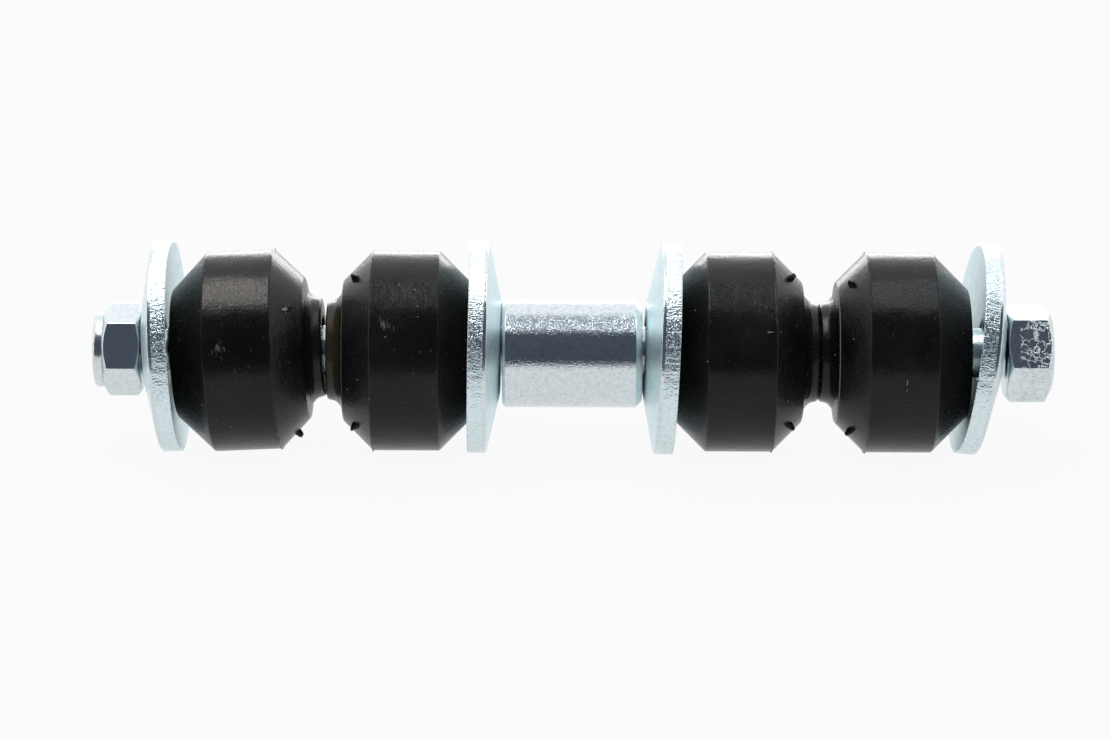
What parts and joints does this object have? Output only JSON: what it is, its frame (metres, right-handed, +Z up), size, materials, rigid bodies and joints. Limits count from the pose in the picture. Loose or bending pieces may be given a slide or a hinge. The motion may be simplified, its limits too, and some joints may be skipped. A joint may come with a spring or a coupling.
{
  "type": "stabilizer link",
  "caption": "Bolt-type stabilizer link: a long bolt through dished washers, rubber bushings and a spacer sleeve, closed by a locking nut, that ties a sway bar to a suspension arm.",
  "frame": {"origin": "on the bolt's axis, at the middle of the spacer sleeve, which is also the middle of the whole link", "axes": "+X along the bolt towards its head, +Z up as the link lies on its washers, +Y away from the viewer of the front"},
  "size_m": [0.1535, 0.034, 0.0343],
  "materials": {
    "zinc_plating": "bright zinc plating on steel",
    "black_rubber": "moulded rubber with a satin skin",
    "white_nylon": "natural nylon"
  },
  "bodies": {
    "core": {"bushing_nut_inner": "black_rubber", "bushing_head_inner": "black_rubber"},
    "bolt": {"through_bolt": "zinc_plating"},
    "head_bushing": {"bushing_head_outer": "black_rubber"},
    "head_washer": {"washer_head_outer": "zinc_plating"},
    "nut_bushing": {"bushing_nut_outer": "black_rubber"},
    "nut": {"lock_nut": "zinc_plating", "nylon_insert": "white_nylon"},
    "nut_washer": {"washer_nut_outer": "zinc_plating"},
    "sleeve": {"spacer_sleeve": "zinc_plating"},
    "nut_inner_washer": {"washer_nut_inner": "zinc_plating"},
    "head_inner_washer": {"washer_head_inner": "zinc_plating"}
  },
  "joints": [
    {"name": "bolt_slide", "type": "slide", "parent": "core", "child": "bolt", "axis": [1, 0, 0], "range_m": [0, 0.00375]},
    {"name": "nut_bushing_slide", "type": "slide", "parent": "core", "child": "nut_bushing", "axis": [-1, 0, 0], "range_m": [0, 0.00375]},
    {"name": "nut_spin", "type": "hinge", "parent": "nut_bushing", "child": "nut", "pos_m": [-0.072, 0, 0], "axis": [-1, 0, 0], "range_deg": [0, 2160]},
    {"name": "nut_washer_spin", "type": "hinge", "parent": "nut_bushing", "child": "nut_washer", "pos_m": [-0.067, 0, 0.0005], "axis": [0.9988, 0, 0.048], "continuous": true},
    {"name": "nut_inner_washer_spin", "type": "hinge", "parent": "core", "child": "nut_inner_washer", "pos_m": [-0.0129, 0, 0.0006], "axis": [0.9999, 0, -0.0148], "continuous": true},
    {"name": "sleeve_spin", "type": "hinge", "parent": "core", "child": "sleeve", "pos_m": [0, 0, -0.0004], "axis": [1, 0, 0], "continuous": true},
    {"name": "head_inner_washer_spin", "type": "hinge", "parent": "core", "child": "head_inner_washer", "pos_m": [0.0131, 0, 0.0005], "axis": [0.9993, 0, -0.0384], "continuous": true},
    {"name": "head_bushing_spin", "type": "hinge", "parent": "bolt", "child": "head_bushing", "pos_m": [0.0515, 0, 0], "axis": [1, 0, 0], "continuous": true},
    {"name": "head_washer_spin", "type": "hinge", "parent": "bolt", "child": "head_washer", "pos_m": [0.067, 0, 0.0004], "axis": [0.9936, 0, -0.1132], "continuous": true}
  ],
  "couplings": [
    {"joint": "nut_spin", "follows": "bolt_slide", "rad_per_m": 10053},
    {"joint": "nut_bushing_slide", "follows": "bolt_slide", "ratio": 1}
  ]
}
